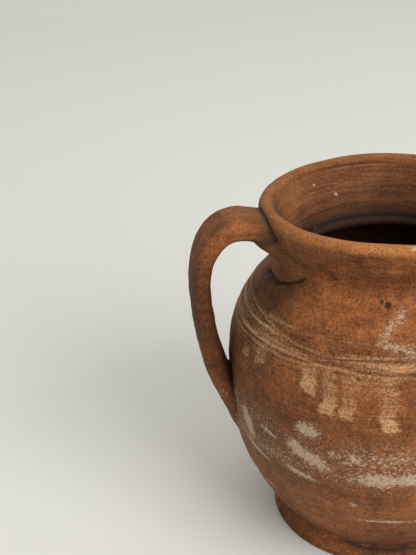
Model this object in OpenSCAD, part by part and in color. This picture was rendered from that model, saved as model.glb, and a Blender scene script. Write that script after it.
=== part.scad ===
// Two-handled earthenware jar: ring foot, rounded belly, incised shoulder, short neck,
// flared lip and two upright strap handles luted under the lip and onto the belly.
// Millimetres, +Z up. The origin is the centre of the plane that the foot stands on.
// The handles lie along X. Every clay piece meets its neighbours face to face.

/* [Jar] */
// Height from the resting plane to the top of the lip
jar_h = 230; // [222:1:238]
// Outer radius of the belly at its widest
belly_r = 104; // [100:0.5:108]
// Height of the widest line of the belly
belly_z = 112; // [108:1:116]
// Thickness of the thrown wall
wall_t = 8; // [6:0.5:9]
// How full the belly is below its widest line (2 is a parabola, more is fuller)
lower_fullness = 2.6; // [2.3:0.1:2.9]
// How full the shoulder is above the widest line
shoulder_fullness = 2.75; // [2.5:0.05:2.9]

/* [Foot] */
// Outer radius of the foot where it stands
foot_r = 76.5; // [74:0.5:79]
// Radius of the crease between foot and belly
crease_r = 71.5; // [70:0.5:73]
// Height of the crease
crease_z = 13; // [11:0.5:14]
// Depth of the hollow turned under the foot
recess_h = 4; // [3:0.5:6]
// Thickness of the floor
floor_t = 12; // [12:0.5:14]

/* [Neck and lip] */
// Outer radius of the neck at its narrowest
neck_r = 67; // [65:0.5:69]
// Height of the narrowest line of the neck
neck_z = 191; // [189:0.5:193]
// Outer radius of the lip
lip_r = 81; // [79:0.5:83]
// Radius of the rounded edge of the lip
lip_round = 4.7; // [4:0.1:5]
// Lean of the lip away from the vertical, in degrees
lip_lean = 20; // [12:1:26]

/* [Shoulder lines] */
// Heights of the incised lines
line_z = [158, 163, 170]; // [150:1:172]
// Radius of the tool that incised them
line_tool_r = 1.2; // [0.8:0.1:1.6]

/* [Handles] */
// Width of the strap
strap_w = 32; // [28:1:36]
// Thickness of the strap
strap_t = 14.5; // [13:0.5:16]
// Squareness of the strap's section (2 is an ellipse, more is squarer)
strap_square = 3.6; // [2.6:0.2:4.2]
// Twist of each end away from the handle's plane about the jar's axis, in degrees
handle_skew = 4; // [0:1:6]

/* [Hidden] */
$fn = 120;

// Fired clay, from the sooty foot to the worn lip
foot_clay = [0.45, 0.26, 0.17];
wall_clay = [0.60, 0.33, 0.20];
shoulder_clay = [0.66, 0.38, 0.23];
lip_clay = [0.72, 0.44, 0.27];
handle_clay = [0.55, 0.32, 0.21];
luting_clay = [0.62, 0.36, 0.23];

// Seams between the thrown sections
shoulder_z = neck_z - 9;    // upper wall meets neck
lip_seam_z = neck_z + 15;   // neck meets lip
fillet_z = neck_z - 13;     // the shoulder's curve hands over to the hollow of the neck
floor_top = recess_h + floor_t;
foot_edge = 1;              // bevel of the foot's standing edge
edge_slope = -0.1;          // lean of the foot's side just above that bevel
waist_slope = -0.3;         // lean of the foot's side at the crease
band_step = 7;              // longest stretch of profile between two points
arc_step = 10;              // degrees of the lip's arc between two points

// The rounded lip is an arc about lip_c, and its flanks leave it at the angle lip_lean
lip_c = [lip_r - lip_round, jar_h - lip_round];
lip_out = lip_c + lip_round * [cos(lip_lean), -sin(lip_lean)];
lip_in = lip_c - lip_round * [cos(lip_lean), -sin(lip_lean)];

// Cubic from value a with slope ma at x0 to value b with slope mb at x1
function ease(x, x0, x1, a, b, ma, mb) =
  let (w = x1 - x0, t = (x - x0) / w)
  (1 + 2 * t) * pow(1 - t, 2) * a + t * pow(1 - t, 2) * w * ma
  + pow(t, 2) * (3 - 2 * t) * b - pow(t, 2) * (1 - t) * w * mb;

// Belly and shoulder are two power curves that share the widest line
function lower_r(z) =
  belly_r - (belly_r - crease_r) * pow((belly_z - z) / (belly_z - crease_z), lower_fullness);
function shoulder_r(z) =
  belly_r - (belly_r - neck_r) * pow((z - belly_z) / (neck_z - belly_z), shoulder_fullness);
function shoulder_slope(z) =
  -shoulder_fullness * (belly_r - shoulder_r(z)) / (z - belly_z);

// Outer radius of the jar from the crease to the lip's arc
function outer_r(z) =
  z <= belly_z ? lower_r(z)
  : z <= fillet_z ? shoulder_r(z)
  : z <= neck_z ? ease(z, fillet_z, neck_z, shoulder_r(fillet_z), neck_r, shoulder_slope(fillet_z), 0)
  : ease(z, neck_z, lip_out[1], neck_r, lip_out[0], 0, tan(lip_lean));

// Inner radius: the wall is wall_t thick square to its slope, then it opens towards the lip
function outer_slope(z) = outer_r(z + 0.5) - outer_r(z - 0.5);
function inner_r(z) =
  z <= neck_z ? outer_r(z) - wall_t * norm([1, outer_slope(z)])
  : ease(z, neck_z, lip_in[1], neck_r - wall_t, lip_in[0], 0, tan(lip_lean));

// Heights that divide z0 to z1 evenly
function heights(z0, z1) =
  let (n = ceil((z1 - z0) / band_step))
  [for (i = [0:n]) z0 + (z1 - z0) * i / n];

lower_heights = concat([crease_z], heights(floor_top, belly_z));
upper_heights = heights(belly_z, shoulder_z);
neck_heights = heights(shoulder_z, lip_seam_z);
lip_out_heights = heights(lip_seam_z, lip_out[1]);
lip_in_heights = heights(lip_seam_z, lip_in[1]);

// Outlines, as [radius, height]
foot_outline = [
  [foot_r - foot_edge, 0],
  [foot_r, foot_edge],
  for (z = heights(2 * foot_edge, crease_z))
    [ease(z, foot_edge, crease_z, foot_r, crease_r, edge_slope, waist_slope), z]
];
lip_arc = [for (a = [-lip_lean:arc_step:180 - lip_lean]) lip_c + lip_round * [cos(a), sin(a)]];
jar_outline = concat(
  foot_outline,
  [for (z = lower_heights) [outer_r(z), z]],
  [for (z = upper_heights) [outer_r(z), z]],
  [for (z = neck_heights) [outer_r(z), z]],
  [for (z = lip_out_heights) [outer_r(z), z]],
  lip_arc
);

// Handle: distance from the axis and height along the middle of the strap, upper end first
strap_path = [
  [60, 211], [97, 222], [115, 210], [121.5, 186], [119, 146], [112, 116], [102, 91], [90, 64]
];
strap_rings = 42;
strap_sides = 20;
upper_swell = 5;    // how much thicker the strap grows at its upper end
swell_u = 0.2;      // part of its length over which it does
waist_thin = 1.7;   // how much thinner it is pulled at its waist
waist_u = 0.45;     // where along its length the waist is
lower_thin = 6;     // how much thinner it is smeared at its lower end
smear_u = 0.8;      // where along its length the smear starts

// Catmull-Rom curve through points p, at u from 0 to 1
function at(p, i) =
  i < 0 ? 2 * p[0] - p[1]
  : i >= len(p) ? 2 * p[len(p) - 1] - p[len(p) - 2]
  : p[i];
function along(p, u) =
  let (s = u * (len(p) - 1), i = min(floor(s), len(p) - 2), t = s - i)
  0.5 * (2 * at(p, i) + t * (at(p, i + 1) - at(p, i - 1))
    + pow(t, 2) * (2 * at(p, i - 1) - 5 * at(p, i) + 4 * at(p, i + 1) - at(p, i + 2))
    + pow(t, 3) * (3 * at(p, i) - at(p, i - 1) - 3 * at(p, i + 1) + at(p, i + 2)));

// Point at distance r from the axis, turned by angle a from +X, at height z
function polar(r, a, z) = [r * cos(a), r * sin(a), z];
function strap_mid(u) =
  let (q = along(strap_path, u))
  polar(q[0], handle_skew * (1 - 2 * u), q[1]);
function strap_angle(u) =
  let (
    step = 0.01,
    d = along(strap_path, min(1, u + step)) - along(strap_path, max(0, u - step))
  )
  atan2(d[1], d[0]);
function strap_depth(u) =
  strap_t
  + upper_swell * pow(max(0, 1 - u / swell_u), 2)
  - waist_thin * pow(sin(90 * min(2, u / waist_u)), 4)
  - lower_thin * pow(max(0, (u - smear_u) / (1 - smear_u)), 2);

// Rounded-square section of width w and depth d, as [across, out of the bend]
function signed_pow(x, e) = sign(x) * pow(abs(x), e);
function strap_section(w, d) = [
  for (i = [0:strap_sides - 1])
    let (a = 360 * i / strap_sides)
    [w / 2 * signed_pow(cos(a), 2 / strap_square), d / 2 * signed_pow(sin(a), 2 / strap_square)]
];
function strap_ring(u) =
  let (m = strap_mid(u), g = strap_angle(u), k = handle_skew * (1 - 2 * u))
  let (across = [-sin(k), cos(k), 0], out = [-sin(g) * cos(k), -sin(g) * sin(k), cos(g)])
  [for (q = strap_section(strap_w, strap_depth(u))) m + q[0] * across + q[1] * out];

// Luted tongue under the handle: [height, how far it reaches from the axis, half width]
tongue_path = [
  [181, 73, 14], [187, 74.5, 17], [193, 75.5, 17], [199, 77.5, 16], [205, 82, 16], [211, 90, 15]
];
tongue_back = 58;
// Luted pad around the lower end: an ellipsoid of these half sizes, lying on the belly
pad_z = 72;
pad_half = [8, 23, 22];
pad_sink = 5;
pad_angles = [-80:16:80];
ring_sides = 20;

function tongue_ring(q) = [
  for (i = [0:ring_sides - 1])
    let (a = 360 * i / ring_sides)
    [tongue_back + (q[1] - tongue_back) * cos(a), q[2] * sin(a), q[0]]
];
function pad_ring(a) = [
  for (i = [0:ring_sides - 1])
    let (b = 360 * i / ring_sides)
    [pad_half[0] * cos(b) * cos(a), pad_half[1] * sin(b) * cos(a), pad_half[2] * sin(a)]
];

// Closed skin over rings of equal count, counter-clockwise when seen from the last ring
module skin(rings) {
  n = len(rings[0]);
  last = len(rings) - 1;
  points = [for (ring = rings) each ring];
  sides = [
    for (j = [0:last - 1], i = [0:n - 1])
      let (a = j * n + i, b = j * n + (i + 1) % n)
      each [[a, a + n, b + n], [a, b + n, b]]
  ];
  bottom = [for (i = [0:n - 1]) i];
  top = [for (i = [n - 1:-1:0]) last * n + i];
  polyhedron(points, concat([bottom], [top], sides));
}

// Solid of revolution between the outer and inner radius at the listed heights
module wall_band(zs) {
  outer = [for (z = zs) [outer_r(z), z]];
  inner = [for (i = [len(zs) - 1:-1:0]) [inner_r(zs[i]), zs[i]]];
  rotate_extrude() polygon(concat(outer, inner));
}

// The jar's outer shape as one filled solid, which every handle piece is fitted against
module jar_core() {
  rotate_extrude() polygon(concat([[0, 0]], jar_outline, [[0, jar_h]]));
}

module strap() {
  skin([for (j = [0:strap_rings]) strap_ring(j / strap_rings)]);
}

module handle() {
  color(handle_clay) difference() {
    strap();
    jar_core();
  }
}

module upper_luting() {
  color(luting_clay) difference() {
    rotate([0, 0, handle_skew]) skin([for (q = tongue_path) tongue_ring(q)]);
    jar_core();
    strap();
  }
}

module lower_luting() {
  lean = atan2(outer_slope(pad_z), 1);
  color(luting_clay) difference() {
    rotate([0, 0, -handle_skew])
      translate([outer_r(pad_z) - pad_sink, 0, pad_z])
        rotate([0, lean, 0])
          skin([for (a = pad_angles) pad_ring(a)]);
    jar_core();
    strap();
  }
}

module foot_ring() {
  inner = inner_r(crease_z);
  color(foot_clay) rotate_extrude()
    polygon(concat(foot_outline, [[inner, crease_z], [inner, 0]]));
}

module floor_disc() {
  color(foot_clay) rotate_extrude() polygon([
    [0, recess_h],
    [inner_r(crease_z), recess_h],
    [inner_r(crease_z), crease_z],
    [inner_r(floor_top), floor_top],
    [0, floor_top]
  ]);
}

module lower_wall() {
  color(wall_clay) wall_band(lower_heights);
}

module upper_wall() {
  color(shoulder_clay) difference() {
    wall_band(upper_heights);
    for (z = line_z) rotate_extrude() translate([outer_r(z), z]) circle(r = line_tool_r);
  }
}

module neck() {
  color(shoulder_clay) wall_band(neck_heights);
}

module rim_lip() {
  outer = [for (z = lip_out_heights) [outer_r(z), z]];
  inner = [for (i = [len(lip_in_heights) - 1:-1:0]) [inner_r(lip_in_heights[i]), lip_in_heights[i]]];
  color(lip_clay) rotate_extrude() polygon(concat(outer, lip_arc, inner));
}

module left_side() {
  rotate([0, 0, 180]) children();
}

foot_ring();
floor_disc();
lower_wall();
upper_wall();
neck();
rim_lip();
left_side() handle();  // left_handle
handle();  // right_handle
left_side() upper_luting();  // left_upper_luting
upper_luting();  // right_upper_luting
left_side() lower_luting();  // left_lower_luting
lower_luting();  // right_lower_luting
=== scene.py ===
"""Looks of the two-handled terracotta jar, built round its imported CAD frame.

The thrown wall, from foot to lip and down the inside, is one closed lathe surface with hand
wobble, throwing ridges, incised lines and pits. The clay luted on for each handle, a tongue on
the neck and a pad on the belly, is part of the wall's relief. Each handle is a pulled strap, and
the wall and the strap swell into one another where they meet.
Angles called azimuth run from the left handle (-X) towards the front (-Y), in degrees.
Shape code works in millimetres and is turned into metres when a mesh is made.
"""
import math

import bmesh
import bpy
import numpy as np
from mathutils import Matrix, Vector
from mathutils.bvhtree import BVHTree


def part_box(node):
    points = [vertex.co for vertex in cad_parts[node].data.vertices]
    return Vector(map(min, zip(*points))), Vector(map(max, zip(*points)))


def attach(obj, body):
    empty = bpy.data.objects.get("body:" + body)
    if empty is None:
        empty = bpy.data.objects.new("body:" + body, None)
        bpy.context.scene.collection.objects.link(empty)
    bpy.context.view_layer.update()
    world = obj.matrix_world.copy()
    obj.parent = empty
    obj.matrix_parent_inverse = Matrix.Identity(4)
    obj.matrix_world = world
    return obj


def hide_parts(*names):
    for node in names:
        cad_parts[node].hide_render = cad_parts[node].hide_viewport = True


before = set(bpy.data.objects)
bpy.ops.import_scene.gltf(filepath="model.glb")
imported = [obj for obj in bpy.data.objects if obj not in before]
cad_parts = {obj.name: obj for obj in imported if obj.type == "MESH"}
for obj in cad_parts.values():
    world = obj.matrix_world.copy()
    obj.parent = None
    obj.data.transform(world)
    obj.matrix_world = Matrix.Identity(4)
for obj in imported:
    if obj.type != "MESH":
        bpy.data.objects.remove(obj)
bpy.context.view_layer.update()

MM = 0.001


# -------- sizes, from the CAD frame

def top_of(node):
    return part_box(node)[1].z / MM


def radius_of(node):
    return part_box(node)[1].x / MM


JAR_H = top_of("rim_lip")
LIP_R = radius_of("rim_lip")
BELLY_R = radius_of("lower_wall")
BELLY_Z = top_of("lower_wall")
CREASE_Z = top_of("foot_ring")
FOOT_R = radius_of("foot_ring")
FLOOR_TOP = top_of("floor_disc")
RECESS_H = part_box("floor_disc")[0].z / MM

# The narrowest line is this far below the neck's top, and the shoulder ends this far below it
NECK_DROP = 15
FILLET_DROP = 13
NECK_Z = top_of("neck") - NECK_DROP
FILLET_Z = NECK_Z - FILLET_DROP
NECK_R = 67.0
CREASE_R = 71.5
WALL_T = 8.0
LIP_ROUND = 4.7
LIP_LEAN = math.radians(20)
LOWER_FULLNESS = 2.6
SHOULDER_FULLNESS = 2.75

LIP_C = (LIP_R - LIP_ROUND, JAR_H - LIP_ROUND)
LIP_OUT = (LIP_C[0] + LIP_ROUND * math.cos(LIP_LEAN), LIP_C[1] - LIP_ROUND * math.sin(LIP_LEAN))
LIP_IN = (LIP_C[0] - LIP_ROUND * math.cos(LIP_LEAN), LIP_C[1] + LIP_ROUND * math.sin(LIP_LEAN))


def ease(x, x0, x1, a, b, ma, mb):
    """Cubic from a with slope ma at x0 to b with slope mb at x1."""
    w = x1 - x0
    t = (x - x0) / w
    return (
        (1 + 2 * t) * (1 - t) ** 2 * a + t * (1 - t) ** 2 * w * ma
        + t ** 2 * (3 - 2 * t) * b - t ** 2 * (1 - t) * w * mb
    )


def shoulder_r(z):
    t = np.maximum(z - BELLY_Z, 0) / (NECK_Z - BELLY_Z)
    return BELLY_R - (BELLY_R - NECK_R) * t ** SHOULDER_FULLNESS


def outer_r(z):
    """Outer radius of the jar at height z, from the foot's edge to the top of the lip."""
    z = np.asarray(z, float)
    foot = ease(z, 1, CREASE_Z, FOOT_R, CREASE_R, -0.1, -0.3)
    t = np.clip((BELLY_Z - z) / (BELLY_Z - CREASE_Z), 0, 1)
    belly = BELLY_R - (BELLY_R - CREASE_R) * t ** LOWER_FULLNESS
    start = float(shoulder_r(FILLET_Z))
    slope = -SHOULDER_FULLNESS * (BELLY_R - start) / (FILLET_Z - BELLY_Z)
    hollow = ease(z, FILLET_Z, NECK_Z, start, NECK_R, slope, 0)
    flare = ease(z, NECK_Z, LIP_OUT[1], NECK_R, LIP_OUT[0], 0, math.tan(LIP_LEAN))
    lip = LIP_C[0] + np.sqrt(np.maximum(0, LIP_ROUND ** 2 - (z - LIP_C[1]) ** 2))
    return np.select(
        [z < CREASE_Z, z <= BELLY_Z, z <= FILLET_Z, z <= NECK_Z, z <= LIP_OUT[1]],
        [foot, belly, shoulder_r(z), hollow, flare], lip,
    )


def inner_r(z):
    """Inner radius: the wall's thickness square to its slope, then opening to the lip."""
    z = np.asarray(z, float)
    slope = outer_r(z + 0.5) - outer_r(z - 0.5)
    wall = outer_r(z) - WALL_T * np.sqrt(1 + slope ** 2)
    funnel = ease(z, NECK_Z, LIP_IN[1], NECK_R - WALL_T, LIP_IN[0], 0, math.tan(LIP_LEAN))
    return np.where(z <= NECK_Z, wall, funnel)


# -------- noise and soft shapes

def lattice(i, j, k, seed):
    """A repeatable value from -1 to 1 for each whole-number place."""
    n = (i * 374761393 + j * 668265263 + k * 362437 + seed * 1442695) & 0xFFFFFFFF
    n = ((n ^ (n >> 13)) * 1274126177) & 0xFFFFFFFF
    return (n ^ (n >> 16)) / 2.0 ** 31 - 1


def noise(p, size, seed):
    """Smooth noise from -1 to 1 at points p, with lumps of that size."""
    q = p / np.asarray(size, float)
    whole = np.floor(q).astype(np.int64)
    f = q - whole
    f = f * f * (3 - 2 * f)
    total = np.zeros(len(p))
    for corner in range(8):
        d = np.array([corner & 1, corner >> 1 & 1, corner >> 2 & 1])
        weight = np.prod(np.where(d, f, 1 - f), axis=1)
        total += weight * lattice(*(whole + d).T, seed)
    return total


def smooth(low, high, x):
    t = np.clip((x - low) / (high - low), 0, 1)
    return t * t * (3 - 2 * t)


def between(x, rise_from, rise_to, fall_from, fall_to):
    """0, rising to 1, staying there and falling back to 0."""
    return smooth(rise_from, rise_to, x) * (1 - smooth(fall_from, fall_to, x))


def bell(x, width):
    return np.exp(-(x / width) ** 2)


def layers(p, table, shift=0):
    """Several noises added up. Each row gives the height, the lumps' size and the seed."""
    return sum(height * noise(p, size, seed + shift) for height, size, seed in table)


def waves(az, table):
    """Several waves round the jar added up. Each row gives height, count and phase."""
    a = np.radians(az)
    return sum(height * np.cos(count * a + phase) for height, count, phase in table)


def azimuth(p):
    """Degrees from -X towards -Y, from -180 to 180."""
    return np.degrees(np.arctan2(-p[:, 1], -p[:, 0]))


def turn(az, middle):
    """az - middle, brought to -180..180."""
    return (az - middle + 180) % 360 - 180


def arc(az, middle, radius):
    """Distance in mm from azimuth middle, along a circle of that radius."""
    return turn(az, middle) * np.pi / 180 * radius


def unrolled(az, z, per_degree):
    """Azimuth and height as places on a flat sheet, so that a noise can run round the jar."""
    return np.stack([az * per_degree, z * 0, z], 1)


def on_axis(r, az, z):
    """Point at radius r, azimuth az and height z."""
    a = np.radians(az)
    return np.stack(np.broadcast_arrays(-r * np.cos(a), -r * np.sin(a), z), -1)


def knots(table, x):
    """Smooth curve through a short table of (azimuth, value), closed after a full turn."""
    at = np.array([row[0] for row in table], float)
    value = np.array([row[1] for row in table], float)
    at = np.concatenate([[at[-1] - 360], at, [at[0] + 360, at[1] + 360]])
    value = np.concatenate([[value[-1]], value, [value[0], value[1]]])
    slope = (value[2:] - value[:-2]) / (at[2:] - at[:-2])
    x = (np.asarray(x, float) - at[1]) % 360 + at[1]
    k = np.clip(np.searchsorted(at, x, side="right") - 1, 1, len(at) - 3)
    return ease(x, at[k], at[k + 1], value[k], value[k + 1], slope[k - 1], slope[k])


# -------- the wall's hand-made surface

# Azimuths of the left and the right handle
SIDES = (0.0, 180.0)

# Noise layers: height in mm, size of the lumps in mm, seed. A size of three numbers runs round
# the jar: along the azimuth, across the wall and up it.
LUMPS = [(0.45, 26, 1), (0.16, 8, 2), (0.06, 2.6, 3)]
THROWING_RIDGES = [(0.16, (70, 1, 3.4), 4), (0.07, (40, 1, 1.3), 5)]
INSIDE_LUMPS = [(0.4, 22, 6), (0.15, 7, 7)]
INSIDE_RIDGES = [(0.30, (60, 1, 3.2), 8), (0.16, (30, 1, 1.4), 9)]
# Sheet units to a degree of azimuth, for ridges and for stains
RIDGE_SCALE, STAIN_SCALE = 0.25, 0.6

# Waves round the jar: height in mm, count, phase
BELLY_WAVES = [(0.5, 2, -0.6), (0.3, 3, 1.0)]
RIM_WAVES = [(0.9, 2, 2.0), (0.45, 3, -0.4), (0.2, 7, 0)]
RIM_RISE_WAVES = [(0.35, 2, -1.2), (0.25, 5, 0.7)]
RIM_SINK = 0.35
# Heights over which the rise sets in
RIM_BEND = (200, 226)

# Incised shoulder lines: height by azimuth
UPPER_LINE = [(0, 169.5), (20, 170), (60, 170.7), (90, 171), (150, 169.8), (220, 170.6), (300, 169.6)]
MIDDLE_LINE = [
    (0, 169), (17, 167.4), (28, 165.3), (37, 162.8), (52, 161.2), (66, 162.6), (80, 163.8),
    (95, 164.6), (140, 163.2), (200, 164.5), (250, 162.4), (310, 165),
]
LOWER_LINE = [
    (0, 155.4), (20, 156), (32, 156.4), (44, 156.7), (53, 158.8), (60, 158.6), (68, 157.4),
    (82, 156.6), (120, 157.4), (170, 156.2), (230, 158), (300, 156),
]
# Each line's heights, half width, depth and seed
LINES = [(UPPER_LINE, 0.7, 0.35, 11), (MIDDLE_LINE, 0.9, 0.9, 12), (LOWER_LINE, 0.9, 0.8, 13)]

# Pits torn in the clay: azimuth, height, radius, depth
PITS = [
    (72.7, 189.2, 1.1, 0.9), (75.5, 187.6, 1.7, 1.5), (87.6, 193.5, 0.6, 0.7), (66, 153.4, 0.8, 0.7),
    (24.9, 190.5, 0.7, 0.6), (49, 201, 1.2, 0.5), (33, 143, 0.9, 0.5), (118, 150, 1.2, 1.0),
    (160, 96, 1.6, 1.1), (205, 176, 1.0, 0.9), (251, 132, 1.3, 1.0), (288, 70, 1.2, 0.9), (335, 120, 1, 0.8),
]
# Chips out of the lip: azimuth, half width, depth
RIM_CHIPS = [(85.2, 2.0, 0.25), (148, 3.0, 0.7), (206, 2.4, 0.9)]
# A groove just inside the lip, at the back
LIP_GROOVE_Z = 225.0
GROOVE_MIDDLE = -78


def wall_relief(az, z, p):
    """Outward displacement in mm of the outer wall at azimuth az and height z."""
    sheet = unrolled(az, z, RIDGE_SCALE)
    d = layers(p, LUMPS) + layers(sheet, THROWING_RIDGES)
    for table, half, depth, seed in LINES:
        middle = knots(table, az) + 0.25 * noise(sheet, (6, 1, 400), seed)
        strength = depth * (0.75 + 0.35 * noise(sheet, (9, 1, 400), seed + 20))
        off = z - middle
        d += -strength * bell(off, half) + 0.45 * strength * bell(off - 1.9 * half, 0.9 * half)
    for at, height, radius, depth in PITS:
        d -= depth * bell(np.hypot(arc(az, at, outer_r(height)), z - height), radius)
    return d


def out_of_round(az, z):
    """How far the turning jar was pushed off its circle, in mm of radius."""
    belly = waves(az, BELLY_WAVES) * between(z, 20, 90, 150, 200)
    return belly + waves(az, RIM_WAVES) * smooth(190, 225, z)


def rim_rise(az, z):
    """How much the lip, and the wall just below it, rises and dips round the jar, in mm."""
    return (waves(az, RIM_RISE_WAVES) - RIM_SINK) * smooth(*RIM_BEND, z)


# Clay luted under each strap's upper end. By height: how far it reaches, and its half widths in
# degrees on the near and far side. The near side is the one towards the front on the left handle.
LUTE_HEIGHT = [181, 184, 187, 191, 195, 200, 205, 209, 212, 216, 220, 224]
LUTE_REACH = [74.0, 74.4, 75.2, 75.7, 76.1, 77.0, 79.8, 84.0, 86.6, 87.0, 84.0, 80.0]
LUTE_NEAR = [10, 14, 19, 23, 26, 26, 22, 17, 14, 11, 9, 8]
LUTE_FAR = [10, 13, 16, 18, 18, 17, 15, 13, 12, 11, 9, 8]
LUTE_MIDDLE = 4.0
# Its lower edge, a crack left where the clay was never smoothed: azimuth by height
LUTE_EDGE = [
    (-60, 192), (-20, 187), (-10, 184.4), (4, 183.5), (9.5, 183.9), (13, 184.6), (18, 186),
    (22, 187.9), (25, 190.5), (28.6, 194.3), (50, 200), (120, 200), (200, 200),
]
# The part of it that was smeared towards the front: azimuth, height, how far each way, thickness
SMEAR = (27, 207, 15, 7, 1.1)
# The pad under each strap's lower end: azimuth and height, half sizes and thickness in mm
PAD_MIDDLE = (-3.0, 84.0)
PAD_HALF = (20.0, 19.0)
PAD_RISE = 1.4


def luting(az, z):
    """Extra radius of the clay luted on for both handles, in mm."""
    total = np.zeros(np.shape(az))
    smear_az, smear_z, wide, tall, smear_rise = SMEAR
    for side in SIDES:
        a = turn(az, side + LUTE_MIDDLE)
        near = np.interp(z, LUTE_HEIGHT, LUTE_NEAR)
        far = np.interp(z, LUTE_HEIGHT, LUTE_FAR)
        s = np.clip(np.where(a > 0, a / near, a / far), -1, 1)
        thick = np.maximum(0, np.interp(z, LUTE_HEIGHT, LUTE_REACH, left=0) - outer_r(z))
        edge = smooth(-0.2, 0.9, z - knots(LUTE_EDGE, turn(az, side)))
        total += thick * (1 - np.abs(s) ** 3) ** 1.6 * edge * (1 - smooth(218, 224, z))
        total += smear_rise * bell(turn(az, side + smear_az), wide) * bell(z - smear_z, tall)
        s = arc(az, side + PAD_MIDDLE[0], BELLY_R) / PAD_HALF[0]
        t = (z - PAD_MIDDLE[1]) / PAD_HALF[1]
        total += PAD_RISE * np.clip(1 - s ** 2 - t ** 2, 0, 1) ** 1.5
    return total


def lute_crack(az, z):
    """1 in the crack along the lower edge of the luted clay, 0 away from it."""
    total = np.zeros(np.shape(az))
    for side in SIDES:
        a = turn(az, side)
        ragged = 0.8 * np.sin(np.radians(a * 23)) + 0.5 * np.sin(np.radians(a * 51 + 40))
        off = z - knots(LUTE_EDGE, a) + 0.1 - 0.9 * ragged
        total += between(a, -14, -6, 24, 31) * bell(off, 0.75)
    return total


def shade_below_lute(az, z):
    """1 in the painted shade just under the luted clay's lower edge, fading away from it."""
    total = np.zeros(np.shape(az))
    for side in SIDES:
        a = turn(az, side)
        total += between(a, -20, -8, 24, 34) * bell(z - knots(LUTE_EDGE, a) + 1.5, 3.0)
    return total


def wall_gap(p):
    """Distance in mm from points to the finished outer wall, negative inside it."""
    az, r = azimuth(p), np.hypot(p[:, 0], p[:, 1])
    z = p[:, 2] - rim_rise(az, p[:, 2])

    def reach(a, h):
        return outer_r(h) + out_of_round(a, h) + luting(a, h)

    step = 0.4
    here = reach(az, z)
    slope_up = (reach(az, z + step) - here) / step
    slope_round = (reach(az + step, z) - here) / (math.radians(step) * r)
    return (r - here) / np.sqrt(1 + slope_up ** 2 + slope_round ** 2)


def weld_size(p):
    """How widely clay was smoothed over a joint: hardly under the lip, well below it, in mm."""
    z = p[:, 2]
    upper = 0.9 + 8.0 * (1 - smooth(208, 218, z))
    lower = 1.4 + 5.0 * (1 - smooth(82, 95, z))
    return np.where(z > 150, upper, lower)


WELD_PASSES = 9


def weld(points, normals, gap_of):
    """Points moved out along their normals so that two pieces flow into one another.

    gap_of gives each point's distance to the other piece. Both pieces swell to the same rounded
    surface, and each dives below it where the other takes over.
    """
    lift = np.zeros(len(points))
    for _ in range(WELD_PASSES):
        gap = gap_of(points + normals * lift[:, None])
        size = weld_size(points)
        share = np.clip(1 - np.maximum(gap - lift, 0) / size, 0, 1)
        lift = 0.5 * lift + 0.125 * size * share ** 2
    return points + normals * lift[:, None], gap


def stretch(start, stop, step):
    """Evenly spaced values from start towards stop, without stop."""
    count = max(1, round(abs(stop - start) / step))
    return start + (stop - start) * np.arange(count) / count


# Rounded corners of the outline: how far across and how far up
RECESS_ROUND = (5, 3)
FLOOR_ROUND = (4, 3)
FOOT_ROUND = 1.6
FLOOR_BEND_Z = FLOOR_TOP + FLOOR_ROUND[1]
# Rows up the outside and down the inside: from one height to another, and how far apart
OUTSIDE_ROWS = [
    (2, 10, 1.0), (10, 17, 0.7), (17, 150, 1.25), (150, 174, 0.45), (174, 181, 0.9),
    (181, 197, 0.5), (197, LIP_OUT[1], 0.75),
]
INSIDE_ROWS = [(LIP_IN[1], 185, 0.8), (185, 160, 2.0), (160, 30, 4.0), (30, FLOOR_BEND_Z, 2.5)]


def jar_outline():
    """Rows of the wall's closed outline: radius, height, outside weight, inside weight.

    It runs from the middle of the underside out to the foot, up, over the lip and down inside.
    """
    rows = []

    def add(r, z, outside, inside):
        r, z = np.broadcast_arrays(np.asarray(r, float), np.asarray(z, float))
        rows.extend(zip(r, z, np.full(r.shape, outside), np.full(r.shape, inside)))

    edge_r = float(inner_r(CREASE_Z))
    flat_r = edge_r - 6
    across, up = RECESS_ROUND
    add(stretch(3, flat_r, 5), RECESS_H, 0, 0)
    for t in np.radians(np.arange(0, 90, 15)):
        add([flat_r + across * math.sin(t)], [RECESS_H - up * (1 - math.cos(t))], 0, 0)
    add([edge_r, edge_r + 1.2, edge_r + 3], [0.5, 0.08, 0], 0, 0)

    foot_r = FOOT_R - FOOT_ROUND
    add(stretch(edge_r + 5, foot_r, 2.5), 0, 0, 0)
    for t in np.radians([0, 25, 50, 75]):
        add([foot_r + FOOT_ROUND * math.sin(t)], [FOOT_ROUND * (1 - math.cos(t))], 0.2, 0)
    for low, high, step in OUTSIDE_ROWS:
        zs = stretch(low, high, step)
        add(outer_r(zs), zs, 1, 0)

    for degrees in np.arange(-20, 160, 9):
        t = math.radians(degrees)
        outside, inside = 1 - smooth(40, 120, degrees), smooth(60, 140, degrees)
        r, z = LIP_C[0] + LIP_ROUND * math.cos(t), LIP_C[1] + LIP_ROUND * math.sin(t)
        add([r], [z], float(outside), float(inside))
    for high, low, step in INSIDE_ROWS:
        zs = stretch(high, low, step)
        add(inner_r(zs), zs, 0, 1)

    across, up = FLOOR_ROUND
    corner_r = float(inner_r(FLOOR_BEND_Z)) - across
    for t in np.radians([0, 30, 60, 90]):
        add([corner_r + across * math.cos(t)], [FLOOR_BEND_Z - up * math.sin(t)], 0, 1)
    add(stretch(corner_r - 5, 3, 6), FLOOR_TOP, 0, 0)
    return np.array(rows)


WALL_COLUMNS = 600


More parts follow.
